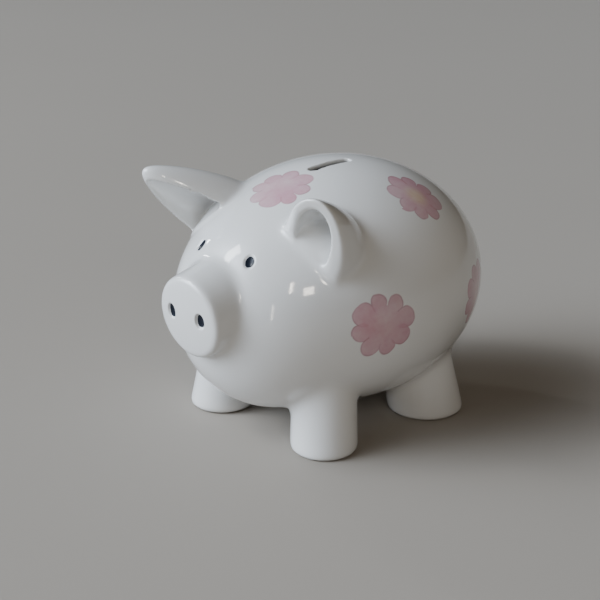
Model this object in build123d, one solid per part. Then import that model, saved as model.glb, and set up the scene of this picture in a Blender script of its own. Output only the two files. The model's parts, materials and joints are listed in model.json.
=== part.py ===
from build123d import *
import math
import os

# Piggy bank of slip-cast, glazed clay. Millimetres, +Z up, feet on z = 0, the face looks along -Y,
# the pig's own left is +X. The origin is under the middle of the whole object's box.

# The hollow body is a round trunk and a smaller head, run into each other softly.
TRUNK_CENTRE = (0.0, 8.9, 62.2)
TRUNK_HALF_SIZES = (65.3, 74.1, 58.0)
HEAD_CENTRE = (0.0, -41.0, 57.0)
HEAD_HALF_SIZES = (36.0, 31.0, 37.8)
BLEND = 35.0
WALL = 4.6
BODY_FRONT_Y = -71.4
BODY_REAR_Y = 82.0
MIDDLE_Z = 59.5
RINGS = 17

# The slot is cut by hand, a little off the middle and a little turned.
SLOT_LENGTH = 26.4
SLOT_WIDTH = 5.0
SLOT_CENTRE = (2.5, 3.2)
SLOT_TURN = 10.0

# Flat land on the belly, with the round hole that the stopper closes.
LAND_Z = 8.6
LAND_RADIUS = 23.0
HOLE_RADIUS = 16.0
HOLE_Y = 9.0

STOPPER_GAP = 0.3
STOPPER_FLANGE_RADIUS = 19.0
STOPPER_FLANGE_THICKNESS = 2.2
STOPPER_NECK_HEIGHT = 8.4
STOPPER_HOLLOW_RADIUS = 11.0
STOPPER_TAB_LENGTH = 16.0
STOPPER_TAB_WIDTH = 3.4
STOPPER_TAB_DROP = 3.6

SNOUT_Y = -81.6
SNOUT_Z = 66.9
SNOUT_DROOP = 5.5
SNOUT_FACE_RADIUS = 18.6
SNOUT_ROOT_RADIUS = 21.6
SNOUT_DEPTH = 24.0
SNOUT_DOME = 1.6
SNOUT_EDGE_RADIUS = 3.2

NOSTRIL_X = 9.2
NOSTRIL_RISE = 1.5
NOSTRIL_HALF_WIDTH = 2.2
NOSTRIL_HALF_HEIGHT = 3.0
NOSTRIL_DEPTH = 2.0

EYE_X = 16.1
EYE_Z = 91.6
EYE_HALF_WIDTH = 1.9
EYE_HALF_HEIGHT = 2.6
EYE_DEPTH = 1.4
EYE_NORMAL = (0.30, -0.69, 0.66)

ENAMEL = 0.9

# Ears: a thick tapered leaf with a hollow scooped out of its front. Set on by hand, so the two differ.
# Each has its root, tip, the way the hollow faces, half width, half depth and how far forward the hollow is.
LEFT_EAR = ((35.6, -37.0, 100.0), (50.6, -61.3, 123.8), (-0.20, -0.78, -0.54), 17.2, 17.2, 6.8)
RIGHT_EAR = ((-37.0, -35.0, 99.0), (-48.0, -65.0, 120.0), (0.30, -0.80, -0.55), 18.5, 14.7, 7.6)
EAR_TAPER = 0.42
EAR_SCOOP_WIDTH = 0.84
EAR_SCOOP_LENGTH = 0.90

# Legs: foot centre, foot radius, knee radius. They lean in towards the belly.
LEG_HEIGHT = 34.0
LEG_LEAN = 10.5
FOOT_EDGE_RADIUS = 3.0
FRONT_LEG = ((34.5, -32.5), 15.5, 14.6)
REAR_LEG = ((37.7, 33.2), 18.0, 16.2)

# Tail: a roll of clay curled flat on the rump.
TAIL_Z = 76.0
TAIL_ROLL_RADIUS = 2.1
TAIL_OUTER_RADIUS = 8.0
TAIL_INNER_RADIUS = 2.8
TAIL_TURNS = 1.15
TAIL_STANDOFF = 1.2


def off_surface(x, y, z, centre, half_sizes, inset):
    """Roughly how far a point is outside an ellipsoid."""
    near = 0.0
    steep = 0.0
    for value, middle, half_size in zip((x, y, z), centre, half_sizes):
        share = (value - middle) / (half_size - inset)
        near += share**2
        steep += (share / (half_size - inset)) ** 2
    near = math.sqrt(near)
    return near * (near - 1.0) / math.sqrt(steep + 1e-12)


def off_body(x, y, z, inset):
    """Roughly how far a point is outside the body, trunk and head run together."""
    trunk = off_surface(x, y, z, TRUNK_CENTRE, TRUNK_HALF_SIZES, inset)
    head = off_surface(x, y, z, HEAD_CENTRE, HEAD_HALF_SIZES, inset)
    near = max(BLEND - abs(trunk - head), 0.0) / BLEND
    return min(trunk, head) - near**3 * BLEND / 6.0


def reach(start, way, inset):
    """How far the body goes from a point inside it, along a direction."""
    low = 0.0
    high = 120.0
    for _ in range(30):
        middle = (low + high) / 2.0
        point = [a + b * middle for a, b in zip(start, way)]
        if off_body(*point, inset) < 0.0:
            low = middle
        else:
            high = middle
    return low


def ring(y, inset):
    """Half width, half height and centre height of the body at y, inset by a wall."""
    top = MIDDLE_Z + reach((0, y, MIDDLE_Z), (0, 0, 1), inset)
    bottom = MIDDLE_Z - reach((0, y, MIDDLE_Z), (0, 0, -1), inset)
    centre = (top + bottom) / 2.0
    half_width = reach((0, y, centre), (1, 0, 0), inset)
    half_height = (top - bottom) / 2.0
    # Never narrower than tall, so every ring's seam starts on the same side.
    return max(half_width, half_height + 0.05), half_height, centre


def egg(inset):
    """The body's solid shape, inset by a wall thickness."""
    front = BODY_FRONT_Y + inset
    rear = BODY_REAR_Y - inset
    rings = []
    for i in range(RINGS):
        y = (front + rear) / 2.0 - (rear - front) / 2.0 * math.cos(math.pi * i / (RINGS - 1))
        half_width, half_height, centre = ring(y, inset)
        plane = Plane(origin=(0, y, centre), x_dir=(1, 0, 0), z_dir=(0, 1, 0))
        rings.append(plane * Ellipse(half_width, half_height))
    return loft(rings)


def column(radius, low, high, y=HOLE_Y):
    return Pos(0, y, low) * Cylinder(radius, high - low, align=(Align.CENTER, Align.CENTER, Align.MIN))


def oval_pin(plane, half_width, half_height, low, high):
    """An oval pin along the plane's normal, from low to high."""
    return extrude(plane.offset(low) * Ellipse(half_height, half_width), high - low)


def eye_plane(side):
    normal = Vector(side * EYE_NORMAL[0], EYE_NORMAL[1], EYE_NORMAL[2])
    upward = Vector(0, 0, 1) - normal * (normal.Z / normal.length**2)
    y = -reach((EYE_X, 0, EYE_Z), (0, -1, 0), 0.0)
    return Plane(origin=(side * EYE_X, y, EYE_Z), x_dir=upward, z_dir=normal)


def snout_plane():
    tilt = math.radians(SNOUT_DROOP)
    return Plane(
        origin=(0, SNOUT_Y, SNOUT_Z),
        x_dir=(0, -math.sin(tilt), math.cos(tilt)),
        z_dir=(0, -math.cos(tilt), -math.sin(tilt)),
    )


def nostril_plane(side):
    face = snout_plane()
    spot = face.origin + face.x_dir * NOSTRIL_RISE + Vector(side * NOSTRIL_X, 0, 0)
    return Plane(origin=spot, x_dir=face.x_dir, z_dir=face.z_dir)


def make_body(outer):
    hollow = egg(WALL) - column(LAND_RADIUS + 2.0, 0.0, LAND_Z + WALL)
    shell = outer - column(LAND_RADIUS, -5.0, LAND_Z) - hollow
    shell -= column(HOLE_RADIUS, -5.0, LAND_Z + 3.0 * WALL)
    slot = Pos(*SLOT_CENTRE, 100.0) * Rot(0, 0, 90.0 - SLOT_TURN) * SlotOverall(SLOT_LENGTH, SLOT_WIDTH)
    shell -= extrude(slot, 40.0)
    for side in (-1, 1):
        shell -= oval_pin(eye_plane(side), EYE_HALF_WIDTH, EYE_HALF_HEIGHT, -EYE_DEPTH, 4.0)
    return shell


def make_snout(outer):
    profile = Polyline(
        (0, SNOUT_DOME),
        (SNOUT_FACE_RADIUS * 0.5, SNOUT_DOME * 0.72),
        (SNOUT_FACE_RADIUS, 0),
        (SNOUT_ROOT_RADIUS, -SNOUT_DEPTH),
        (0, -SNOUT_DEPTH),
        close=True,
    )
    turned = revolve(Plane.XZ * make_face(profile), Axis.Z)
    rim = turned.edges().filter_by(GeomType.CIRCLE).sort_by(Axis.Z)[-2]
    turned = fillet(rim, SNOUT_EDGE_RADIUS)
    solid = snout_plane() * turned - outer
    for side in (-1, 1):
        pin = oval_pin(nostril_plane(side), NOSTRIL_HALF_WIDTH, NOSTRIL_HALF_HEIGHT, -NOSTRIL_DEPTH, 6.0)
        solid -= pin
    return solid


def make_enamel(plane, half_width, half_height, depth):
    return oval_pin(plane, half_width, half_height, -depth, ENAMEL - depth)


def leaf(length, half_width, half_depth):
    """A pointed leaf body round the Z axis, from a flat root below the origin to its tip at length."""
    points = []
    for i in range(9):
        height = length * math.cos(math.pi * i * 0.0833)
        share = height / length
        points.append((half_width * math.sqrt(max(0.0, 1.0 - share**2)) * (1.0 - EAR_TAPER * share), height))
    curve = Spline(*points)
    foot = points[-1][1]
    outline = curve + Line(points[-1], (0, foot)) + Line((0, foot), points[0])
    turned = revolve(Plane.XZ * make_face(outline), Axis.Z)
    return scale(turned, by=(1.0, half_depth / half_width, 1.0))


def make_ear(ear, outer):
    root, tip, face, half_width, half_depth, shift = ear
    start = Vector(*root)
    along = Vector(*tip) - start
    across = along.normalized().cross(Vector(*face)).normalized()
    facing = across.cross(along.normalized())
    scoop = leaf(
        along.length * EAR_SCOOP_LENGTH, half_width * EAR_SCOOP_WIDTH, half_depth * EAR_SCOOP_WIDTH
    )
    shape = Plane(origin=start, x_dir=across, z_dir=along) * leaf(along.length, half_width, half_depth)
    shape -= Plane(origin=start + facing * shift, x_dir=across, z_dir=along) * scoop
    return shape - outer


def make_leg(side, foot, foot_radius, knee_radius, outer):
    lean = math.tan(math.radians(LEG_LEAN))
    inward = Vector(-side * foot[0], -foot[1], 0).normalized() * lean
    axis = (inward + Vector(0, 0, 1)).normalized()
    start = Vector(side * foot[0], foot[1], 0) - axis * 6.0
    stem = Plane(origin=start, z_dir=axis) * Cone(
        foot_radius, knee_radius, LEG_HEIGHT + 6.0, align=(Align.CENTER, Align.CENTER, Align.MIN)
    )
    stem -= Pos(0, 0, -10.0) * Box(300, 300, 20)
    stem = fillet(stem.edges().sort_by(Axis.Z)[0], FOOT_EDGE_RADIUS)
    return stem - outer


def make_tail(outer):
    y = reach((0, 0, TAIL_Z), (0, 1, 0), 0.0)
    slope = Vector(
        0,
        (y - TRUNK_CENTRE[1]) / TRUNK_HALF_SIZES[1] ** 2,
        (TAIL_Z - TRUNK_CENTRE[2]) / TRUNK_HALF_SIZES[2] ** 2,
    )
    flat = Plane(origin=(0, y, TAIL_Z), x_dir=(1, 0, 0), z_dir=slope)
    points = []
    steps = 14
    for i in range(steps + 1):
        part = i / steps
        radius = TAIL_OUTER_RADIUS + (TAIL_INNER_RADIUS - TAIL_OUTER_RADIUS) * part
        angle = 2.0 * math.pi * TAIL_TURNS * part - math.pi / 2.0
        lift = TAIL_STANDOFF + 0.4 * part
        points.append((radius * math.cos(angle), radius * math.sin(angle), lift))
    path = Spline(*points)
    roll = sweep(Plane(origin=path @ 0, z_dir=path % 0) * Circle(TAIL_ROLL_RADIUS), path)
    tip = Pos(*points[-1]) * Sphere(TAIL_ROLL_RADIUS)
    start = Pos(*points[0]) * Sphere(TAIL_ROLL_RADIUS)
    return flat * (roll + tip + start) - outer


def make_stopper():
    top = LAND_Z + STOPPER_NECK_HEIGHT
    flange = column(STOPPER_FLANGE_RADIUS, LAND_Z - STOPPER_FLANGE_THICKNESS, LAND_Z)
    flange = fillet(flange.edges().group_by(Axis.Z)[0], 0.9)
    neck = column(HOLE_RADIUS - STOPPER_GAP, LAND_Z, top)
    neck = chamfer(neck.edges().group_by(Axis.Z)[-1], 1.2)
    tab_low = LAND_Z - STOPPER_FLANGE_THICKNESS - STOPPER_TAB_DROP
    tab = Pos(0, HOLE_Y, tab_low) * Box(
        STOPPER_TAB_LENGTH,
        STOPPER_TAB_WIDTH,
        STOPPER_TAB_DROP + 0.5,
        align=(Align.CENTER, Align.CENTER, Align.MIN),
    )
    tab = fillet(tab.edges().filter_by(Axis.Z), 1.5)
    hollow = column(STOPPER_HOLLOW_RADIUS, LAND_Z + 0.4, top + 1.0)
    return flange + neck + tab - hollow


def make_parts():
    outer = egg(0.0)
    parts = {
        "body_shell": make_body(outer),
        "snout": make_snout(outer),
        "tail": make_tail(outer),
        "stopper": make_stopper(),
    }
    for side, name, ear in ((1, "left", LEFT_EAR), (-1, "right", RIGHT_EAR)):
        parts[name + "_ear"] = make_ear(ear, outer)
        parts["front_" + name + "_leg"] = make_leg(side, *FRONT_LEG, outer)
        parts["rear_" + name + "_leg"] = make_leg(side, *REAR_LEG, outer)
        parts[name + "_eye"] = make_enamel(eye_plane(side), EYE_HALF_WIDTH, EYE_HALF_HEIGHT, EYE_DEPTH)
        parts[name + "_nostril"] = make_enamel(
            nostril_plane(side), NOSTRIL_HALF_WIDTH, NOSTRIL_HALF_HEIGHT, NOSTRIL_DEPTH
        )
    return parts


def main():
    os.makedirs("parts", exist_ok=True)
    parts = make_parts()
    for name, shape in parts.items():
        box = shape.bounding_box()
        print(name, round(shape.volume), len(shape.solids()), shape.is_valid, box)
        export_step(shape, "parts/" + name + ".step")


main()
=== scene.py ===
import json
import math

import bpy
import numpy as np
from mathutils import Matrix, Quaternion, Vector


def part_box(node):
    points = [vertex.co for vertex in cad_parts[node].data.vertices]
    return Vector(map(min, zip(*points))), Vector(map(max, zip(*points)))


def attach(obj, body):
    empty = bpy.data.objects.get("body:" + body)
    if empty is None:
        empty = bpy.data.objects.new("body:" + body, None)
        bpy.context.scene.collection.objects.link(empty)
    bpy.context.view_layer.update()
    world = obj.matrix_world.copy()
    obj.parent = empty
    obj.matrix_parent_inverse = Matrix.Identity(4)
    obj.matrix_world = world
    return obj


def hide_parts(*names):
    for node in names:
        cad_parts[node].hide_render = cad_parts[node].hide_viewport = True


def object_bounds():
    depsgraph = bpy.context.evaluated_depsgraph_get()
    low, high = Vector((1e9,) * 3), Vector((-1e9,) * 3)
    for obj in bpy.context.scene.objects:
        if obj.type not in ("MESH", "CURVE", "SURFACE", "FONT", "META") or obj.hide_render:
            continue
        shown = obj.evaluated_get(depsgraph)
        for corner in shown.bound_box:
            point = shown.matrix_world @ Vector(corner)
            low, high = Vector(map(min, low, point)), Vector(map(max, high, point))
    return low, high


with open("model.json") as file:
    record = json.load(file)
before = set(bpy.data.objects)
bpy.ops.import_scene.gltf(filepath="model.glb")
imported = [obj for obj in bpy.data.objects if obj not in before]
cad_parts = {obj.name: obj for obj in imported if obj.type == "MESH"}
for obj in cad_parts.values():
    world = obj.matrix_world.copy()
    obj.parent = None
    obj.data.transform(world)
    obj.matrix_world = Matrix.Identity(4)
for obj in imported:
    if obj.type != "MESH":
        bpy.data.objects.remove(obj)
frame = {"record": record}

cad_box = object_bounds()

# The pig is worked out as one distance field in millimetres, in the row frame. It is meshed once and cut
# into its parts along the creases where they are joined, so the glaze runs on smoothly from part to part.


def span(node):
    """Centre and half sizes of a CAD node's box, in millimetres."""
    low, high = (np.array(v) * 1000.0 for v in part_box(node))
    return (low + high) / 2.0, (high - low) / 2.0


def unit(v):
    v = np.asarray(v, float)
    return v / np.linalg.norm(v)


def length(v):
    return np.sqrt(np.einsum("...i,...i->...", v, v))


BODY_MIDDLE, BODY_HALF = span("body_shell")
TAIL_MIDDLE = span("tail")[0]
STOPPER_MIDDLE, STOPPER_HALF = span("stopper")
EYE_MIDDLE = span("left_eye")[0]
NOSTRIL_MIDDLE = span("left_nostril")[0]
MOUNTS = {m["name"]: np.array(m["pos_m"]) * 1000.0 for m in frame["record"]["mounts"]}

TRUNK_CENTRE = np.array([0.0, 8.9, BODY_MIDDLE[2]])
TRUNK_HALF = np.array([BODY_HALF[0], 74.1, BODY_HALF[2]])
HEAD_CENTRE = np.array([0.0, -41.0, 57.0])
HEAD_HALF = np.array([36.0, 31.0, 37.8])
NECK_BLEND = 35.0
WALL = 4.6
HOLE_Y = STOPPER_MIDDLE[1]
LAND_Z = 8.6
LAND_RADIUS = 22.0
HOLE_RADIUS = 16.0
# Slot: centre, degrees it is turned, length and width.
SLOT = ((2.2, 2.8), 10.0, 22.4, 4.4)

SNOUT_DROOP = math.radians(5.5)
SNOUT_AXIS = unit((0.0, -math.cos(SNOUT_DROOP), -math.sin(SNOUT_DROOP)))
SNOUT_UP = unit((0.0, -math.sin(SNOUT_DROOP), math.cos(SNOUT_DROOP)))
SNOUT_FACE = np.array([0.0, -81.6, 66.9])
SNOUT_RADIUS = 18.6
SNOUT_FLARE = 0.125
SNOUT_LENGTH = 24.0
SNOUT_DOME = 1.8

# Ears: root, tip, where the hollow faces, half width and half depth.
EARS = {
    "left_ear": ((35.6, -37.0, 100.0), (50.6, -61.3, 123.8), (-0.20, -0.78, -0.54), 17.2, 17.2),
    "right_ear": ((-37.0, -35.0, 99.0), (-48.0, -65.0, 120.0), (0.30, -0.80, -0.55), 18.5, 14.7),
}
EAR_TAPER = 0.42
# The right ear is scooped out. The left one is curled: a wall of even thickness, with its rim cut back and
# then bevelled by a plane that faces partly to the side, partly forwards and partly along the ear.
SCOOP_SHARE = (0.86, 0.84, 0.90)
SCOOP_SHIFT = np.array([0.0, 7.6, 0.0])
CURL_WALL = 6.8
CURL_REACH = 7.0
BEVEL_WAY = (0.295, 0.787, 0.541)
BEVEL_DISTANCE = 8.6

# Legs: foot radius and radius LEG_SPAN up.
FRONT_LEG = (15.5, 14.6)
REAR_LEG = (18.0, 16.0)
LEGS = {"front_left": FRONT_LEG, "front_right": FRONT_LEG, "rear_left": REAR_LEG, "rear_right": REAR_LEG}
LEG_SPAN = 34.0
LEG_LEAN = 10.5

TAIL_HEIGHT = 76.0
TAIL_TURNS = 1.15

FAR = 60.0
EYE_SIZE = (2.0, 2.7, 1.0)
NOSTRIL_SIZE = (2.2, 3.0, 1.6)

# Broad glows of the room: compass turn, rise, how narrow, and colour times strength. DIM is from all round.
GLOWS = [(-37.0, 28.0, 16.0, (14.8, 16.6, 18.9)), (150.0, 24.0, 6.0, (0.28, 0.26, 0.23))]
DIM = (0.040, 0.031, 0.021)
BACKDROP = (0.27, 0.265, 0.26, 1.0)
COOL = (0.95, 0.98, 1.0)
WARM = (1.0, 0.92, 0.81)

CAMERA_PLACE = (0.4438, -0.44956, 0.2972)
CAMERA_TURN = math.radians(45.535)
CAMERA_PITCH = math.radians(21.112)
CAMERA_LENS = 86.235


def soft_min(a, b, k):
    h = np.maximum(k - np.abs(a - b), 0.0) / k
    return np.minimum(a, b) - h * h * h * k / 6.0


def soft_max(a, b, k):
    return -soft_min(-a, -b, k)


def ellipsoid(p, centre, half):
    q = (p - centre) / half
    size = length(q)
    return size * (size - 1.0) / (length(q / half) + 1e-9)


def near(p, centre, reach, field):
    """The field where a point is within reach of the centre, and a large value elsewhere."""
    out = np.full(len(p), FAR)
    close = length(p - centre) < reach
    if close.any():
        out[close] = field(p[close])
    return out


def body(p, inset=0.0):
    trunk = ellipsoid(p, TRUNK_CENTRE, TRUNK_HALF - inset)
    head = ellipsoid(p, HEAD_CENTRE, HEAD_HALF - inset)
    return soft_min(trunk, head, NECK_BLEND)


def snout(p):
    d = p - SNOUT_FACE
    along = d @ SNOUT_AXIS
    out = np.sqrt((d @ SNOUT_UP) ** 2 + d[:, 0] ** 2)
    flare = (out - (SNOUT_RADIUS - SNOUT_FLARE * along)) / 1.0078
    ball = (SNOUT_RADIUS**2 + SNOUT_DOME**2) / (2.0 * SNOUT_DOME)
    dome = np.sqrt(out**2 + (along - SNOUT_DOME + ball) ** 2) - ball
    return soft_max(soft_max(flare, dome, 3.6), -along - SNOUT_LENGTH, 2.0)


def ear(p, name):
    root, tip, face, half_width, half_depth = EARS[name]
    along = np.array(tip) - np.array(root)
    tall = np.linalg.norm(along)
    along = along / tall
    face = unit(np.array(face) - along * (along @ np.array(face)))
    side = np.cross(along, face)
    d = p - np.array(root)
    up = d @ along
    thin = np.clip(1.0 - EAR_TAPER * up / tall, 0.3, 1.3)
    leaf = np.stack([(d @ side) / thin, (d @ face) / thin, up], -1)
    half = np.array([half_width, half_depth, tall])
    whole = ellipsoid(leaf, 0.0, half)
    above_body = 0.2 - body(p)
    if name == "right_ear":
        hollow = soft_max(ellipsoid(leaf, SCOOP_SHIFT, half * SCOOP_SHARE), above_body, 3.0)
        return soft_max(whole, -hollow, 2.6)
    wall = soft_max(whole, -soft_max(whole + CURL_WALL, above_body, 3.0), 0.6)
    edge = 0.4 + CURL_REACH * np.clip(1.0 - up / tall, 0.0, 1.2) ** 2
    wall = soft_max(wall, leaf[:, 1] - edge, 5.2)
    bevel = (d @ side) * BEVEL_WAY[0] + (d @ face) * BEVEL_WAY[1] + up * BEVEL_WAY[2] - BEVEL_DISTANCE
    return soft_max(wall, bevel, 3.0)


def leg(p, name):
    foot = MOUNTS[name + "_sole"]
    low, high = LEGS[name]
    lean = math.tan(math.radians(LEG_LEAN))
    axis = unit(unit((-foot[0], -foot[1], 0.0)) * lean + np.array([0.0, 0.0, 1.0]))
    d = p - foot
    up = d @ axis
    out = np.sqrt(np.maximum(np.einsum("...i,...i->...", d, d) - up * up, 0.0))
    slope = (high - low) / LEG_SPAN
    flank = (out - (low + slope * up)) / math.sqrt(1.0 + slope**2)
    return soft_max(soft_max(flank, -p[:, 2], 5.0), up - 40.0, 3.0)


def tail_line():
    """The middle of the curled roll of clay, lying on the rump."""
    share = (TAIL_HEIGHT - TRUNK_CENTRE[2]) / TRUNK_HALF[2]
    y = TRUNK_CENTRE[1] + TRUNK_HALF[1] * math.sqrt(1.0 - share**2)
    out = unit((0.0, (y - TRUNK_CENTRE[1]) / TRUNK_HALF[1] ** 2, share / TRUNK_HALF[2]))
    right = np.array([1.0, 0.0, 0.0])
    t = np.linspace(0.0, 1.0, 44)[:, None]
    radius = 8.0 - 5.2 * t
    turn = 2.0 * math.pi * TAIL_TURNS * t - math.pi / 2.0
    centre = np.array([0.0, y, TAIL_HEIGHT])
    spiral = radius * (np.cos(turn) * right + np.sin(turn) * np.cross(out, right))
    return centre + spiral + (1.2 + 0.4 * t) * out


def tail(p):
    line = tail_line()
    best = np.full(len(p), 99.0)
    for i, (a, b) in enumerate(zip(line[:-1], line[1:])):
        run = b - a
        share = np.clip((p - a) @ run / (run @ run), 0.0, 1.0)
        radius = 2.3 - 0.5 * (i / len(line)) ** 2
        best = np.minimum(best, length(p - a - share[:, None] * run) - radius)
    return best


PARTS = ["body_shell", "snout", "tail", "left_ear", "right_ear"] + [name + "_leg" for name in LEGS]
BLENDS = [0.0, 3.2, 1.6, 4.5, 4.5, 6.0, 6.0, 6.0, 6.0]


def fields(p):
    """Distance to each part before they are run together, in the order of PARTS."""
    out = [body(p), near(p, SNOUT_FACE - 10.0 * SNOUT_AXIS, 42.0, snout), near(p, TAIL_MIDDLE, 26.0, tail)]
    for name in EARS:
        middle = (np.array(EARS[name][0]) + np.array(EARS[name][1])) / 2.0
        out.append(near(p, middle, 42.0, lambda q: ear(q, name)))
    for name in LEGS:
        foot = MOUNTS[name + "_sole"] + np.array([0.0, 0.0, 14.0])
        out.append(near(p, foot, 38.0, lambda q: leg(q, name)))
    return out


def gradient(field, p, step=0.05):
    out = np.empty_like(p)
    for i in range(3):
        shift = np.zeros(3)
        shift[i] = step
        out[:, i] = (field(p + shift) - field(p - shift)) / (2.0 * step)
    return out


def body_point(x, z):
    """The point of the body's front at that x and z."""
    low, high = 0.0, -120.0
    for _ in range(40):
        y = (low + high) / 2.0
        if body(np.array([[x, y, z]]))[0] < 0.0:
            low = y
        else:
            high = y
    return np.array([x, low, z])


def spots():
    """Name, centre, outward way, up and size of the eyes and nostrils on the left side."""
    eye = body_point(EYE_MIDDLE[0], EYE_MIDDLE[2] + 0.4)
    out = unit(gradient(body, eye[None])[0])
    up = unit(np.array([0.0, 0.0, 1.0]) - out * out[2])
    nostril = SNOUT_FACE + SNOUT_UP * 1.5 + np.array([NOSTRIL_MIDDLE[0], 0.0, 0.0])
    nostril = nostril + SNOUT_AXIS * SNOUT_DOME * 0.7
    return [("eye", eye, out, up, EYE_SIZE), ("nostril", nostril, SNOUT_AXIS, SNOUT_UP, NOSTRIL_SIZE)]


SPOTS = spots()


def dimpled(d, p):
    """Presses the hollows for the eyes and nostrils into a distance field."""
    m = p.copy()
    m[:, 0] = np.abs(m[:, 0])
    for _, centre, out, up, (wide, high, deep) in SPOTS:
        close = length(m - centre) < 9.0
        if close.any():
            v = m[close] - centre
            turned = np.stack([v @ np.cross(up, out), v @ up, v @ out], -1)
            dimple = ellipsoid(turned, 0.0, np.array([wide + 0.5, high + 0.5, deep]))
            d[close] = soft_max(d[close], -dimple, 0.9)
    return d


def round_column(p, radius, top):
    return np.maximum(np.sqrt(p[:, 0] ** 2 + (p[:, 1] - HOLE_Y) ** 2) - radius, p[:, 2] - top)


def slot_field(p):
    middle, turn, long, wide = SLOT
    way = np.array([math.sin(math.radians(turn)), math.cos(math.radians(turn))])
    d = p[:, :2] - np.array(middle)
    run = d @ way
    run = run - np.clip(run, -(long - wide) / 2.0, (long - wide) / 2.0)
    across = d @ np.array([way[1], -way[0]])
    return np.maximum(np.sqrt(across**2 + run**2) - wide / 2.0, 95.0 - p[:, 2])


def pig(p):
    parts = fields(p)
    d = parts[0]
    for part, blend in zip(parts[1:], BLENDS[1:]):
        d = soft_min(d, part, blend)
    d = dimpled(d, p)
    d = soft_max(d, -round_column(p, LAND_RADIUS, LAND_Z), 2.5)
    hollow = soft_max(body(p, WALL), -round_column(p, LAND_RADIUS + 3.0, LAND_Z + WALL), 4.0)
    d = np.maximum(d, -hollow)
    d = soft_max(d, -slot_field(p), 1.2)
    return soft_max(d, -round_column(p, HOLE_RADIUS, 40.0), 1.5)


def stopper(p):
    """A soft plug: a flange, a hollow neck and a pull tab."""
    q = p - np.array([0.0, HOLE_Y, 0.0])
    out = np.sqrt(q[:, 0] ** 2 + q[:, 1] ** 2)
    z = q[:, 2]
    flange = soft_max(out - STOPPER_HALF[0], np.abs(z - LAND_Z + 1.1) - 1.1, 1.2)
    ring = soft_max(np.abs(out - 14.2) - 0.5, np.abs(z - LAND_Z + 2.2) - 0.35, 0.5)
    neck = soft_max(out - HOLE_RADIUS + 0.3, np.abs(z - LAND_Z - 3.2) - 5.2, 1.4)
    tab = soft_max(soft_max(np.abs(q[:, 0]) - 8.0, np.abs(q[:, 1]) - 1.7, 2.0), np.abs(z - 4.9) - 2.1, 1.6)
    d = soft_min(soft_min(flange, neck, 0.3), tab, 1.6)
    d = soft_max(d, -ring, 0.4)
    return soft_max(d, -np.maximum(out - 11.0, LAND_Z + 0.4 - z), 0.8)


# Meshing


def net(field, low, high, step):
    """A surface net: a point in each grid cell the surface passes, a quad round each grid edge it crosses."""
    counts = [int(math.ceil((b - a) / step)) + 1 for a, b in zip(low, high)]
    axes = [a + step * np.arange(n) for a, n in zip(low, counts)]
    grid = np.stack(np.meshgrid(*axes, indexing="ij"), -1).reshape(-1, 3)
    values = np.concatenate([field(part) for part in np.array_split(grid, 12)]).reshape(counts)
    inside = values < 0.0
    cells = [slice(0, -1), slice(1, None)]
    corners = [(i, j, k) for i in (0, 1) for j in (0, 1) for k in (0, 1)]
    full = sum(inside[cells[i], cells[j], cells[k]].astype(int) for i, j, k in corners)
    used = (full > 0) & (full < 8)
    at = np.argwhere(used)
    number = np.full(used.shape, -1)
    number[used] = np.arange(len(at))
    total = np.zeros((len(at), 3))
    hits = np.zeros(len(at))
    for a in corners:
        for axis in range(3):
            if a[axis]:
                continue
            b = tuple(1 if i == axis else a[i] for i in range(3))
            va = values[tuple((at + a).T)]
            vb = values[tuple((at + b).T)]
            cut = (va < 0.0) != (vb < 0.0)
            share = np.where(cut, va / np.where(cut, va - vb, 1.0), 0.0)
            place = np.array(a, float) + share[:, None] * (np.array(b) - np.array(a))
            total[cut] += place[cut]
            hits[cut] += 1.0
    points = (at + total / hits[:, None]) * step + np.array(low)
    quads = []
    for axis in range(3):
        u, v = (axis + 1) % 3, (axis + 2) % 3
        first = [slice(None)] * 3
        second = [slice(None)] * 3
        first[axis] = slice(0, -1)
        second[axis] = slice(1, None)
        crossed = np.argwhere(inside[tuple(first)] != inside[tuple(second)])
        crossed = crossed[(crossed[:, u] > 0) & (crossed[:, v] > 0)]
        ring = []
        for du, dv in ((-1, -1), (0, -1), (0, 0), (-1, 0)):
            cell = crossed.copy()
            cell[:, u] += du
            cell[:, v] += dv
            ring.append(number[tuple(cell.T)])
        ring = np.stack(ring, -1)
        outward = inside[tuple(crossed.T)]
        quads.append(np.where(outward[:, None], ring, ring[:, ::-1]))
    quads = np.concatenate(quads)
    return points, np.concatenate([quads[:, [0, 1, 2]], quads[:, [0, 2, 3]]])


def edges_of(faces):
    """Each edge once, and for each face the numbers of its three edges."""
    pairs = np.sort(np.stack([faces, np.roll(faces, -1, axis=1)], -1), axis=-1)
    size = faces.max() + 1
    keys, back = np.unique(pairs[..., 0] * size + pairs[..., 1], return_inverse=True)
    return np.stack([keys // size, keys % size], -1), back.reshape(-1, 3)


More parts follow.
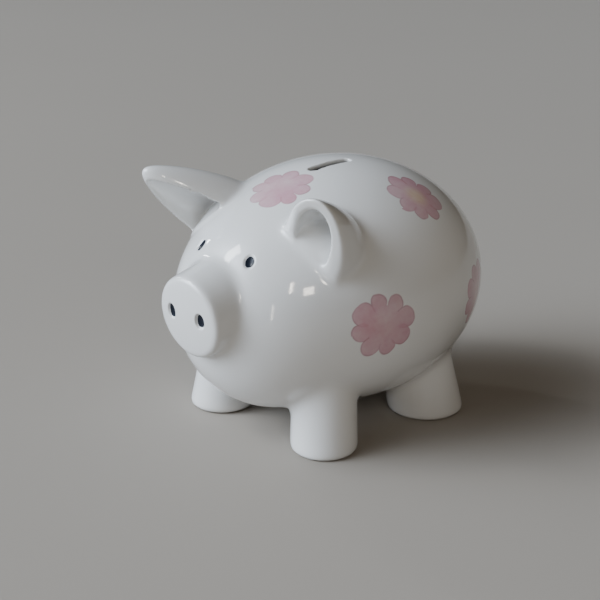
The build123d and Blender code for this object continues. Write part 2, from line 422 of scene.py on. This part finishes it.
def refine(points, faces, wanted):
    """Halves the edges whose two ends are both wanted, and splits the faces beside them to fit."""
    edges, of_face = edges_of(faces)
    split = wanted[edges].all(axis=1)
    middle = np.full(len(edges), -1)
    middle[split] = len(points) + np.arange(split.sum())
    points = np.concatenate([points, points[edges[split]].mean(axis=1)])
    marks = split[of_face]
    mid = middle[of_face]
    count = marks.sum(axis=1)
    done = [faces[count == 0]]
    a, b, c = faces[count == 3].T
    ab, bc, ca = mid[count == 3].T
    done += [np.stack(t, -1) for t in ((a, ab, ca), (ab, b, bc), (ca, bc, c), (ab, bc, ca))]
    for turn in range(3):
        order = [(turn + i) % 3 for i in range(3)]
        one = (count == 1) & marks[:, turn]
        a, b, c = faces[one][:, order].T
        ab = mid[one][:, turn]
        done += [np.stack(t, -1) for t in ((a, ab, c), (ab, b, c))]
        two = (count == 2) & ~marks[:, order[2]]
        a, b, c = faces[two][:, order].T
        ab = mid[two][:, order[0]]
        bc = mid[two][:, order[1]]
        done += [np.stack(t, -1) for t in ((ab, b, bc), (a, ab, bc), (a, bc, c))]
    return points, np.concatenate(done)


def settle(points, faces, field, rounds, fixed=None):
    """Evens out the mesh along the surface and puts every point on the surface."""
    edges, _ = edges_of(faces)
    degree = np.bincount(edges.ravel(), minlength=len(points))[:, None] + 1e-9
    for _ in range(rounds):
        slope = gradient(field, points)
        steep = np.einsum("ij,ij->i", slope, slope)[:, None] + 1e-6
        total = np.zeros_like(points)
        for i in range(3):
            total[:, i] += np.bincount(edges[:, 0], points[edges[:, 1], i], len(points))
            total[:, i] += np.bincount(edges[:, 1], points[edges[:, 0], i], len(points))
        pull = total / degree - points
        pull -= slope * (np.einsum("ij,ij->i", pull, slope)[:, None] / steep)
        if fixed is not None:
            pull[fixed] = 0.0
        points = points + 0.5 * pull
        points = points + np.clip(-field(points)[:, None] * slope / steep, -0.7, 0.7)
    for _ in range(2):
        slope = gradient(field, points)
        steep = np.einsum("ij,ij->i", slope, slope)[:, None] + 1e-6
        points = points + np.clip(-field(points)[:, None] * slope / steep, -0.3, 0.3)
    return points


def islands(faces, size):
    """A number for each face, the same for faces that share corners."""
    root = np.arange(size)
    edges, _ = edges_of(faces)
    for _ in range(400):
        low = np.minimum(root[edges[:, 0]], root[edges[:, 1]])
        new = root.copy()
        np.minimum.at(new, edges[:, 0], low)
        np.minimum.at(new, edges[:, 1], low)
        new = new[new]
        if (new == root).all():
            break
        root = new
    return root[faces[:, 0]]


def part_numbers(points, faces):
    """Which part each face belongs to: the nearest, in one piece, and the shell for all that is inside."""
    middle = points[faces].mean(axis=1)
    values = np.stack(fields(middle), -1)
    part = values.argmin(axis=1)
    part[values[:, 0] < -2.0] = 0
    for number in range(1, len(PARTS)):
        mine = np.flatnonzero(part == number)
        group = islands(faces[mine], len(points))
        names, sizes = np.unique(group, return_counts=True)
        part[mine[group != names[sizes.argmax()]]] = 0
    mine = np.flatnonzero(part == 0)
    group = islands(faces[mine], len(points))
    names, sizes = np.unique(group, return_counts=True)
    for name, size in zip(names, sizes):
        if size < 400:
            lost = mine[group == name]
            part[lost] = values[lost][:, 1:].argmin(axis=1) + 1
    return part


def seam_points(faces, part, number):
    return np.intersect1d(faces[part == number], faces[part == 0])


def snap_seams(points, faces, part):
    """Slides the points between a part and the shell onto the line where the two are equally near."""
    fixed = np.zeros(len(points), bool)
    for number in range(1, len(PARTS)):
        seam = seam_points(faces, part, number)
        fixed[seam] = True

        def gap(p):
            values = fields(p)
            return values[number] - values[0]

        for _ in range(3):
            p = points[seam]
            out = gradient(pig, p)
            out /= length(out)[:, None] + 1e-9
            slope = gradient(gap, p)
            slope -= out * np.einsum("ij,ij->i", slope, out)[:, None]
            move = -gap(p)[:, None] * slope / (np.einsum("ij,ij->i", slope, slope)[:, None] + 0.02)
            points[seam] = p + np.clip(move, -0.5, 0.5)
    return fixed


def loops_of(faces):
    """The open edges of a set of faces, as closed rings of points."""
    directed = np.concatenate([faces[:, [0, 1]], faces[:, [1, 2]], faces[:, [2, 0]]])
    size = faces.max() + 1
    forward = directed[:, 0] * size + directed[:, 1]
    backward = directed[:, 1] * size + directed[:, 0]
    open_edges = directed[~np.isin(forward, backward)]
    after = {}
    for a, b in open_edges.tolist():
        after.setdefault(a, []).append(b)
    rings = []
    while after:
        start = next(iter(after))
        ring = [start]
        while True:
            ends = after[ring[-1]]
            point = ends.pop()
            if not ends:
                del after[ring[-1]]
            if point == start:
                break
            ring.append(point)
        rings.append(ring)
    return rings


def capped(points, faces, shift):
    """Closes each open ring with a patch that lies on the body, shift millimetres off it."""
    points = points.copy()
    for ring in loops_of(faces):
        edge = points[ring]
        middle = edge.mean(axis=0)
        start = body(edge)
        rows = [np.array(ring)]
        steps = 6
        for i in range(1, steps + 1):
            left = 1.0 - i / steps
            row = middle + (edge - middle) * left if i < steps else middle[None]
            level = (start * left if i < steps else np.zeros(1)) + shift
            for _ in range(4):
                slope = gradient(body, row)
                steep = np.einsum("ij,ij->i", slope, slope)[:, None]
                row = row - (body(row) - level)[:, None] * slope / steep
            rows.append(len(points) + np.arange(len(row)))
            points = np.concatenate([points, row])
        patch = []
        for inner, outer in zip(rows[1:-1], rows[:-2]):
            a, b = outer, np.roll(outer, -1)
            c, d = np.roll(inner, -1), inner
            patch += [np.stack((b, a, d), -1), np.stack((b, d, c), -1)]
        last = rows[-2]
        tip = np.full(len(last), rows[-1][0])
        patch.append(np.stack((np.roll(last, -1), last, tip), -1))
        faces = np.concatenate([faces, *patch])
    return points, faces


def make_object(name, points, faces, normals=None, attributes=None):
    """A Blender mesh in metres from points in millimetres."""
    mesh = bpy.data.meshes.new(name)
    mesh.vertices.add(len(points))
    mesh.vertices.foreach_set("co", (points * 0.001).astype(np.float32).ravel())
    mesh.loops.add(faces.size)
    mesh.loops.foreach_set("vertex_index", faces.astype(np.int32).ravel())
    mesh.polygons.add(len(faces))
    mesh.polygons.foreach_set("loop_start", np.arange(0, faces.size, 3, dtype=np.int32))
    mesh.polygons.foreach_set("use_smooth", np.ones(len(faces), bool))
    mesh.update(calc_edges=True)
    mesh.validate()
    for key, values in (attributes or {}).items():
        layer = mesh.attributes.new(key, "FLOAT" if values.ndim == 1 else "FLOAT_VECTOR", "POINT")
        field_name = "value" if values.ndim == 1 else "vector"
        layer.data.foreach_set(field_name, values.astype(np.float32).ravel())
    if normals is not None:
        mesh.normals_split_custom_set_from_vertices(normals.tolist())
    obj = bpy.data.objects.new(name, mesh)
    bpy.context.scene.collection.objects.link(obj)
    return obj


def compact(points, faces):
    """Only the points that the faces use."""
    used, back = np.unique(faces, return_inverse=True)
    return used, points[used], back.reshape(-1, 3)


# Painted flowers: where they sit, as a direction from the middle of the trunk, and size, spin, seed, warmth.
FLOWERS = [
    (62.8, 0.2, 15.6, 0.20, 1.0, 0.1),
    (-1.0, 55.5, 15.2, 0.35, 2.0, 0.0),
    (108.1, 48.1, 14.8, 0.10, 3.0, 1.0),
    (121.5, -1.8, 15.0, 0.30, 4.0, 0.2),
    (-68.0, 6.0, 15.2, 0.50, 5.0, 0.2),
    (-112.0, 40.0, 14.8, 0.15, 6.0, 0.6),
    (-128.0, -8.0, 14.5, 0.70, 7.0, 0.1),
    (172.0, 44.0, 14.5, 0.40, 8.0, 0.3),
]


def flower_places():
    """Centre, outward way and size of each flower on the body."""
    places = []
    for turn, rise, size, spin, seed, warm in FLOWERS:
        a, e = math.radians(turn), math.radians(rise)
        way = np.array([math.sin(a) * math.cos(e), -math.cos(a) * math.cos(e), math.sin(e)])
        point = TRUNK_CENTRE + way * 66.0
        for _ in range(30):
            point = point - way * body(point[None])[0]
        out = unit(gradient(body, point[None])[0])
        right = unit(np.cross(np.array([0.0, 0.0, 1.0]), out))
        up = np.cross(out, right)
        places.append((point, right * math.cos(spin) + up * math.sin(spin), out, size, seed, warm))
    return places


def flower_layers(points):
    """For each point its place in its flower's own flat frame, 1 at the petal tips, and the flower's seed."""
    place = np.tile(np.array([3.0, 3.0, 0.0]), (len(points), 1))
    kind = np.zeros((len(points), 3))
    for centre, right, out, size, seed, warm in flower_places():
        d = points - centre
        u, v = d @ right / size, d @ np.cross(out, right) / size
        hit = (np.sqrt(u * u + v * v) < 1.5) & (np.abs(d @ out) < 9.0)
        place[hit] = np.stack([u[hit], v[hit], np.ones(hit.sum())], -1)
        kind[hit] = (seed, warm, 0.0)
    return place, kind


def make_pig():
    """Meshes the whole pig, finer at the ears, slot, snout, tail and spots, and cuts it into its parts."""
    low, high = (np.array(v) * 1000.0 for v in cad_box)
    points, faces = net(pig, low - 4.0, high + 4.0, 1.6)
    points = settle(points, faces, pig, 4)
    parts = fields(points)
    fine = np.minimum(parts[3], parts[4]) < 1.0
    fine |= (np.abs(slot_field(points)) < 4.0) & (points[:, 2] > 104.0)
    fine |= (np.abs(parts[1]) < 1.0) | (parts[2] < 1.5)
    points, faces = refine(points, faces, fine & (parts[0] > -3.0))
    points = settle(points, faces, pig, 3)
    for margin in (3.5, 2.5):
        m = points.copy()
        m[:, 0] = np.abs(m[:, 0])
        fine = np.zeros(len(points), bool)
        for _, centre, _, _, size in SPOTS:
            fine |= length(m - centre) < size[1] + margin
        points, faces = refine(points, faces, fine)
        points = settle(points, faces, pig, 2)
    part = part_numbers(points, faces)
    fixed = snap_seams(points, faces, part)
    points = settle(points, faces, pig, 2, fixed)
    normals = gradient(pig, points, 0.12)
    normals /= length(normals)[:, None] + 1e-9
    hollow = 1.0 - pig(points + normals * 2.5) / 2.5
    ridge = 1.0 + pig(points - normals * 2.5) / 2.5
    pool = np.clip(hollow - ridge, -1.0, 1.0)
    # How deep a point sits on the inner wall of the hollow; the glaze paints these points near black, a
    # painted shade of the dark cavity.
    inside = np.clip((-body(points) - 1.0) / 1.2, 0.0, 1.0) * (points[:, 2] > 12.0)
    made = {}
    for number, name in enumerate(PARTS):
        used, p, f = compact(points, faces[part == number])
        count = len(p)
        p, f = capped(p, f, -0.08 if number == 0 else 0.08)
        extra = p[count:]
        n = np.concatenate([normals[used], np.tile([0.0, 0.0, 1.0], (len(extra), 1))])
        layers = {"pool": np.concatenate([pool[used], np.zeros(len(extra))])}
        layers["inside"] = np.concatenate([inside[used], np.zeros(len(extra))])
        if number == 0:
            layers["bloom"], layers["bloom_kind"] = flower_layers(p)
        made[name] = make_object("glazed_" + name, p, f, n, layers)
    return made


def make_enamel(name, side, centre, out, up, size):
    """A thin blob of black enamel that fills a hollow up to its rim."""
    mirror = np.array([side, 1.0, 1.0])
    across = np.cross(up, out)
    rings, around = 9, 36
    top, bottom = [], []
    for i in range(rings + 1):
        t = i / rings
        for k in range(around):
            a = 2.0 * math.pi * k / around
            wobble = 1.0 + 0.04 * math.sin(2.0 * a + side) + 0.03 * math.sin(3.0 * a + 2.0 * side)
            sideways = across * size[0] * t * wobble * math.cos(a)
            place = centre + sideways + up * size[1] * t * wobble * math.sin(a)
            place = place + out * 0.6
            for _ in range(8):
                place = place - out * pig((place * mirror)[None])[0] * 0.8
            thick = 0.05 + 0.10 * math.sqrt(max(0.0, 1.0 - t**4))
            top.append((place + out * thick * (1.0 if t < 1.0 else 0.1)) * mirror)
            bottom.append((place - out * 0.3) * mirror)
    points = np.array(top + bottom)
    layer = len(top)
    faces = []
    for i in range(rings):
        for k in range(around):
            a, b = i * around + k, i * around + (k + 1) % around
            c, d = b + around, a + around
            faces += [(a, d, c), (a, c, b)]
            faces += [(a + layer, c + layer, d + layer), (a + layer, b + layer, c + layer)]
    for k in range(around):
        a, b = rings * around + k, rings * around + (k + 1) % around
        faces += [(a, a + layer, b + layer), (a, b + layer, b)]
    faces = np.array(faces)
    if side < 0:
        faces = faces[:, ::-1]
    return make_object(name, points, faces)


def make_stopper():
    low, high = (np.array(v) * 1000.0 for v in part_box("stopper"))
    points, faces = net(stopper, low - 2.0, high + 2.0, 0.8)
    points = settle(points, faces, stopper, 4)
    normals = gradient(stopper, points, 0.1)
    normals /= length(normals)[:, None] + 1e-9
    return make_object("rubber_stopper", points, faces, normals)


# Materials


class Nodes:
    """Short calls for building a material's node tree."""

    def __init__(self, name):
        self.material = bpy.data.materials.new(name)
        self.material.use_nodes = True
        self.tree = self.material.node_tree
        self.tree.nodes.clear()
        self.shader = self.add("ShaderNodeBsdfPrincipled")
        out = self.add("ShaderNodeOutputMaterial")
        self.tree.links.new(self.shader.outputs[0], out.inputs[0])

    def add(self, kind, **settings):
        node = self.tree.nodes.new(kind)
        for key, value in settings.items():
            setattr(node, key, value)
        return node

    def put(self, socket, value):
        if isinstance(value, bpy.types.NodeSocket):
            self.tree.links.new(value, socket)
        else:
            socket.default_value = value

    def math(self, operation, *values, clamp=False):
        node = self.add("ShaderNodeMath", operation=operation, use_clamp=clamp)
        for socket, value in zip(node.inputs, values):
            self.put(socket, value)
        return node.outputs[0]

    def mix(self, share, a, b):
        node = self.add("ShaderNodeMix", data_type="RGBA")
        self.put(node.inputs["Factor"], share)
        self.put(node.inputs["A"], a)
        self.put(node.inputs["B"], b)
        return node.outputs["Result"]

    def ramp(self, value, low, high, start=0.0, end=1.0):
        node = self.add("ShaderNodeMapRange", interpolation_type="SMOOTHSTEP")
        for socket, given in zip(node.inputs, (value, low, high, start, end)):
            self.put(socket, given)
        return node.outputs[0]

    def noise(self, scale, detail=2.0):
        node = self.add("ShaderNodeTexNoise")
        self.put(node.inputs["Vector"], self.place())
        node.inputs["Scale"].default_value = scale
        node.inputs["Detail"].default_value = detail
        return node.outputs["Fac"]

    def place(self):
        return self.add("ShaderNodeTexCoord").outputs["Object"]

    def attribute(self, name):
        return self.add("ShaderNodeAttribute", attribute_name=name)

    def bump(self, height, distance, strength=1.0):
        node = self.add("ShaderNodeBump")
        node.inputs["Strength"].default_value = strength
        node.inputs["Distance"].default_value = distance
        self.put(node.inputs["Height"], height)
        self.put(self.shader.inputs["Normal"], node.outputs[0])

    def set(self, **values):
        for key, value in values.items():
            self.put(self.shader.inputs[key.replace("_", " ")], value)


def colour(red, green, blue):
    return (red, green, blue, 1.0)


def add_flowers(n, ground):
    """Watercolour flowers of eight round petals in two overlapping sets, with darker edges."""
    split = n.add("ShaderNodeSeparateXYZ")
    n.put(split.inputs[0], n.attribute("bloom").outputs["Vector"])
    kind = n.add("ShaderNodeSeparateXYZ")
    n.put(kind.inputs[0], n.attribute("bloom_kind").outputs["Vector"])
    seed, warm = kind.outputs[0], kind.outputs[1]
    wave = [n.math("SUBTRACT", n.noise(scale, 2.0), 0.5) for scale in (95.0, 110.0)]
    u = n.math("ADD", split.outputs[0], n.math("MULTIPLY", wave[0], 0.16))
    v = n.math("ADD", split.outputs[1], n.math("MULTIPLY", wave[1], 0.16))
    out = n.math("SQRT", n.math("ADD", n.math("MULTIPLY", u, u), n.math("MULTIPLY", v, v)))
    turn = n.math("ARCTAN2", v, u)
    petals = []
    for start in (0.0, math.pi / 4.0):
        shifted = n.math("ADD", turn, math.pi / 4.0 + start)
        folded = n.math("SUBTRACT", n.math("FLOORED_MODULO", shifted, math.pi / 2.0), math.pi / 4.0)
        number = n.math("FLOOR", n.math("DIVIDE", shifted, math.pi / 2.0))
        x = n.math("SUBTRACT", n.math("MULTIPLY", out, n.math("COSINE", folded)), 0.69)
        y = n.math("MULTIPLY", out, n.math("SINE", folded))
        gap = n.math("SQRT", n.math("ADD", n.math("MULTIPLY", x, x), n.math("MULTIPLY", y, y)))
        sway = n.math("ADD", n.math("MULTIPLY", number, 2.4), n.math("MULTIPLY", seed, 1.9 + start))
        vary = n.math("SINE", sway)
        petals.append(n.math("SUBTRACT", gap, n.math("ADD", 0.292, n.math("MULTIPLY", vary, 0.045))))
    heart = n.math("SUBTRACT", out, 0.60)
    edge = n.math("MINIMUM", n.math("MINIMUM", petals[0], petals[1]), heart)
    here = n.math("GREATER_THAN", split.outputs[2], 0.999)
    wash = n.math("MULTIPLY", n.ramp(edge, 0.02, -0.02), here)
    both = n.ramp(n.math("MAXIMUM", petals[0], petals[1]), 0.03, -0.03)
    lines = []
    for shape in petals:
        lines.append(n.ramp(n.math("ABSOLUTE", n.math("ADD", shape, 0.012)), 0.035, 0.0))
    inner = n.math("MULTIPLY", n.math("MAXIMUM", lines[0], lines[1]), n.ramp(out, 0.45, 0.8, 0.0, 0.45))
    outer = n.ramp(n.math("ABSOLUTE", n.math("ADD", edge, 0.018)), 0.045, 0.0)
    outer = n.math("MULTIPLY", outer, n.ramp(n.noise(130.0, 2.0), 0.38, 0.6, 0.25, 1.0))
    rim = n.math("MAXIMUM", inner, outer)
    blot = n.noise(60.0, 3.0)
    grain = n.noise(420.0, 2.0)
    depth = n.math("ADD", 0.34, n.math("MULTIPLY", blot, 0.62))
    depth = n.math("ADD", depth, n.math("MULTIPLY", both, 0.07))
    depth = n.math("ADD", depth, n.math("MULTIPLY", rim, 0.16))
    depth = n.math("ADD", depth, n.math("MULTIPLY", n.math("SUBTRACT", grain, 0.5), 0.18))
    depth = n.math("MULTIPLY", depth, wash, clamp=True)
    pink = n.mix(n.noise(85.0, 2.0), colour(0.51, 0.19, 0.24), colour(0.48, 0.22, 0.295))
    centre = n.math("MULTIPLY", n.ramp(out, 0.55, 0.1), warm)
    pink = n.mix(n.math("MULTIPLY", centre, 0.75), pink, colour(0.60, 0.42, 0.24))
    pink = n.mix(n.math("MULTIPLY", outer, 0.55), pink, colour(0.30, 0.19, 0.215))
    return n.mix(depth, ground, pink)


def glaze(name, flowers=False):
    """White clay under a clear, slightly wavy glaze that pools in the creases and thins on the ridges; the
    inside of the hollow gets a near-black painted shade.
    """
    n = Nodes(name)
    pool = n.attribute("pool").outputs["Fac"]
    white = n.mix(n.noise(14.0, 3.0), colour(0.70, 0.70, 0.69), colour(0.755, 0.755, 0.75))
    white = n.mix(n.ramp(pool, 0.05, 0.7, 0.0, 0.35), white, colour(0.60, 0.61, 0.62))
    white = n.mix(n.ramp(pool, -0.25, -0.8, 0.0, 0.30), white, colour(0.76, 0.745, 0.71))
    if flowers:
        white = add_flowers(n, white)
    cells = n.add("ShaderNodeTexVoronoi")
    n.put(cells.inputs["Vector"], n.place())
    cells.inputs["Scale"].default_value = 55.0
    pick = n.add("ShaderNodeSeparateColor")
    n.put(pick.inputs[0], cells.outputs["Color"])
    chosen = n.math("GREATER_THAN", pick.outputs[0], 0.95)
    speck = n.math("MULTIPLY", n.ramp(cells.outputs["Distance"], 0.035, 0.015), chosen)
    white = n.mix(n.math("MULTIPLY", speck, 0.7), white, colour(0.20, 0.14, 0.10))
    split = n.add("ShaderNodeSeparateXYZ")
    n.put(split.inputs[0], n.place())
    bare = n.ramp(n.math("ADD", split.outputs[2], n.math("MULTIPLY", n.noise(300.0), 0.0006)), 0.0011, 0.0006)
    clay = n.mix(n.noise(900.0, 3.0), colour(0.52, 0.49, 0.44), colour(0.62, 0.59, 0.54))
    # The inner wall of the hollow is painted near black with a faint mottle: painted shade standing in for
    # the dark cavity, not the clay's own colour.
    inside = n.attribute("inside").outputs["Fac"]
    painted_inside_shade = n.mix(n.noise(140.0, 4.0), colour(0.035, 0.033, 0.032), colour(0.07, 0.066, 0.06))
    n.set(Base_Color=n.mix(inside, n.mix(bare, white, clay), painted_inside_shade))
    gloss = n.ramp(n.noise(34.0, 3.0), 0.3, 0.7, 0.055, 0.10)
    n.set(Roughness=n.math("ADD", gloss, n.math("MULTIPLY", n.math("MAXIMUM", bare, inside), 0.65)))
    n.set(IOR=1.52, Coat_Weight=0.35, Coat_Roughness=0.04, Coat_IOR=1.5)
    height = n.math("ADD", n.noise(26.0, 2.0), n.math("MULTIPLY", n.noise(110.0, 2.0), 0.10))
    height = n.math("SUBTRACT", height, n.math("MULTIPLY", speck, 0.15))
    n.bump(n.math("ADD", height, n.math("MULTIPLY", bare, n.noise(1800.0, 2.0))), 0.00035, 0.6)
    return n.material


def enamel():
    """Glossy blue-black enamel, brushed on by hand."""
    n = Nodes("black_enamel_gloss")
    n.set(Base_Color=n.mix(n.noise(900.0, 3.0), colour(0.006, 0.008, 0.014), colour(0.014, 0.018, 0.028)))
    n.set(Roughness=n.ramp(n.noise(500.0), 0.3, 0.7, 0.08, 0.16))
    n.set(IOR=1.45, Specular_IOR_Level=0.18)
    n.bump(n.noise(450.0, 2.0), 0.00012, 0.6)
    return n.material


def rubber():
    """Soft grey-white plug rubber with a fine moulded grain and scattered patches of dust."""
    n = Nodes("stopper_rubber_soft")
    tone = n.mix(n.noise(60.0, 4.0), colour(0.42, 0.41, 0.39), colour(0.50, 0.49, 0.47))
    dust = n.ramp(n.noise(240.0, 4.0), 0.55, 0.8)
    n.set(Base_Color=n.mix(n.math("MULTIPLY", dust, 0.35), tone, colour(0.60, 0.57, 0.52)))
    n.set(Roughness=n.ramp(n.noise(180.0, 3.0), 0.2, 0.8, 0.48, 0.66))
    n.set(IOR=1.5, Sheen_Weight=0.1)
    n.bump(n.math("ADD", n.noise(1500.0, 2.0), n.math("MULTIPLY", n.noise(200.0), 0.5)), 0.0001, 0.5)
    return n.material


def floor_material():
    n = Nodes("floor_plain")
    n.set(Base_Color=n.mix(n.noise(3.0, 2.0), colour(0.312, 0.282, 0.246), colour(0.326, 0.296, 0.260)))
    n.set(Roughness=0.7)
    return n.material


# Scene


def add_pieces():
    made = make_pig()
    painted = glaze("painted_glaze_gloss", flowers=True)
    white = glaze("white_glaze_gloss")
    for name, obj in made.items():
        obj.data.materials.append(painted if name == "body_shell" else white)
        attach(obj, "pig")
        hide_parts(name)
    black = enamel()
    for kind, centre, out, up, size in SPOTS:
        for side, word in ((1, "left"), (-1, "right")):
            node = word + "_" + kind
            obj = make_enamel("enamel_" + node, side, centre, out, up, size)
            obj.data.materials.append(black)
            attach(obj, "pig")
            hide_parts(node)
    plug = make_stopper()
    plug.data.materials.append(rubber())
    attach(plug, "plug")
    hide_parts("stopper")


def add_floor():
    mesh = bpy.data.meshes.new("floor")
    mesh.from_pydata([(-4, -4, 0), (4, -4, 0), (4, 4, 0), (-4, 4, 0)], [], [(0, 1, 2, 3)])
    floor = bpy.data.objects.new("floor", mesh)
    bpy.context.scene.collection.objects.link(floor)
    mesh.materials.append(floor_material())


def add_light(name, place, wide, high, power, lean=0.0, tint=COOL):
    """A small bright window at a place in metres, aimed at the pig's head, leaning over by some degrees."""
    light = bpy.data.lights.new(name, "AREA")
    light.shape = "RECTANGLE"
    light.size = wide
    light.size_y = high
    light.energy = power
    light.color = tint
    obj = bpy.data.objects.new(name, light)
    bpy.context.scene.collection.objects.link(obj)
    obj.location = place
    aim = (Vector(place) - Vector((0.0, -0.05, 0.08))).to_track_quat("Z", "Y")
    obj.rotation_euler = (aim @ Quaternion((0.0, 0.0, 1.0), math.radians(lean))).to_euler()


def add_sky():
    """Soft studio light: a cool glow from the front left, a faint warm one behind, and a pale backdrop."""
    world = bpy.data.worlds.new("studio")
    bpy.context.scene.world = world
    world.use_nodes = True
    tree = world.node_tree

    def add(kind, **settings):
        node = tree.nodes.new(kind)
        for key, value in settings.items():
            setattr(node, key, value)
        return node

    way = add("ShaderNodeTexCoord").outputs["Generated"]
    total = None
    for turn, rise, power, tint in GLOWS:
        a, e = math.radians(turn), math.radians(rise)
        dot = add("ShaderNodeVectorMath", operation="DOT_PRODUCT")
        tree.links.new(way, dot.inputs[0])
        dot.inputs[1].default_value = (math.sin(a) * math.cos(e), -math.cos(a) * math.cos(e), math.sin(e))
        front = add("ShaderNodeMath", operation="MAXIMUM")
        tree.links.new(dot.outputs["Value"], front.inputs[0])
        lobe = add("ShaderNodeMath", operation="POWER")
        tree.links.new(front.outputs[0], lobe.inputs[0])
        lobe.inputs[1].default_value = power
        tinted = add("ShaderNodeVectorMath", operation="SCALE")
        tinted.inputs[0].default_value = tint
        tree.links.new(lobe.outputs[0], tinted.inputs["Scale"])
        if total is None:
            total = tinted.outputs[0]
        else:
            both = add("ShaderNodeVectorMath", operation="ADD")
            tree.links.new(total, both.inputs[0])
            tree.links.new(tinted.outputs[0], both.inputs[1])
            total = both.outputs[0]
    dim = add("ShaderNodeVectorMath", operation="ADD")
    tree.links.new(total, dim.inputs[0])
    dim.inputs[1].default_value = DIM
    wall = add("ShaderNodeMix", data_type="RGBA")
    tree.links.new(add("ShaderNodeLightPath").outputs["Is Camera Ray"], wall.inputs[0])
    tree.links.new(dim.outputs[0], wall.inputs[6])
    wall.inputs[7].default_value = BACKDROP
    tree.links.new(wall.outputs[2], tree.nodes["Background"].inputs[0])


def add_lights():
    add_sky()
    add_light("window_slit", (-1.41, -0.09, 0.745), 0.05, 0.33, 2.2, lean=23.0)
    add_light("window_top", (-0.76, -0.76, 1.21), 0.26, 0.28, 3.6)
    add_light("small_window", (0.93, -0.94, 0.90), 0.045, 0.27, 1.3, tint=WARM)
    add_light("small_window_side", (1.14, -0.75, 0.76), 0.15, 0.20, 2.0, tint=WARM)
    add_light("small_window_low", (0.80, -1.27, 0.28), 0.03, 0.40, 0.6, tint=WARM)


def add_camera():
    camera = bpy.data.cameras.new("camera")
    camera.sensor_width = 36.0
    camera.lens = CAMERA_LENS
    right = Vector((math.cos(CAMERA_TURN), math.sin(CAMERA_TURN), 0.0))
    level = math.cos(CAMERA_PITCH)
    back = Vector((math.sin(CAMERA_TURN) * level, -math.cos(CAMERA_TURN) * level, math.sin(CAMERA_PITCH)))
    up = back.cross(right)
    obj = bpy.data.objects.new("camera", camera)
    bpy.context.scene.collection.objects.link(obj)
    turned = Matrix((right, up, back)).transposed().to_4x4()
    obj.matrix_world = Matrix.Translation(CAMERA_PLACE) @ turned
    bpy.context.scene.camera = obj


add_pieces()
add_floor()
add_lights()
add_camera()
